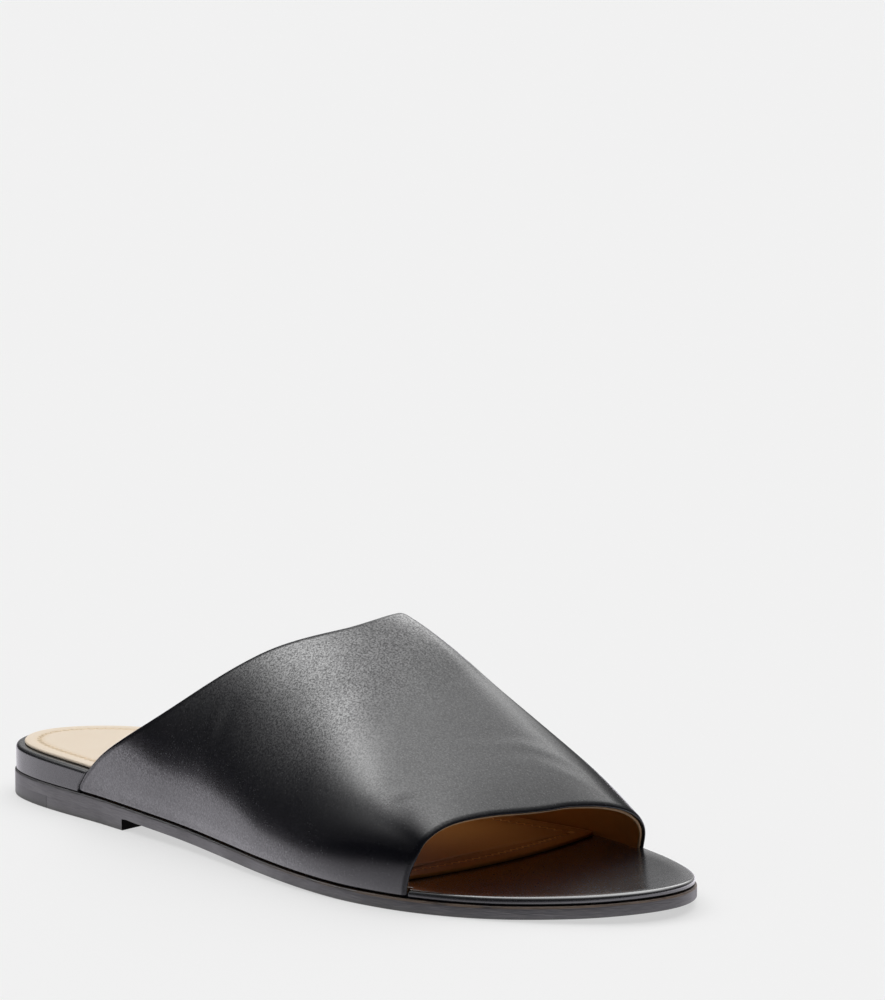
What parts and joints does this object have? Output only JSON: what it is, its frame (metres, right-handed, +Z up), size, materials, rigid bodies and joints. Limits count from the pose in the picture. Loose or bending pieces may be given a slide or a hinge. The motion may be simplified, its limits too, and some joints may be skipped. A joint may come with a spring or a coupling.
{
  "type": "slide sandal",
  "caption": "Flat leather slide for the right foot: one broad open-toed and open-backed upper on a covered footbed, thin sole and low heel.",
  "frame": {"origin": "on the floor, under the middle of the shoe's bounding box", "axes": "+X from heel to toe, +Y towards the inner side of the right foot, +Z up"},
  "size_m": [0.2524, 0.0894, 0.0667],
  "materials": {
    "sole_leather": "black dressed edge, satin, slightly fibrous",
    "heel_rubber": "matte black rubber",
    "footbed_leather": "smooth black leather, satin",
    "tan_leather": "smooth natural tan leather, matte",
    "upper_leather": "smooth black nappa leather with a fine grain, satin"
  },
  "bodies": {
    "root": {"outsole": "sole_leather", "heel_lift": "sole_leather", "heel_rubber": "heel_rubber", "footbed": "footbed_leather", "insole": "tan_leather", "upper": "upper_leather"}
  },
  "joints": []
}
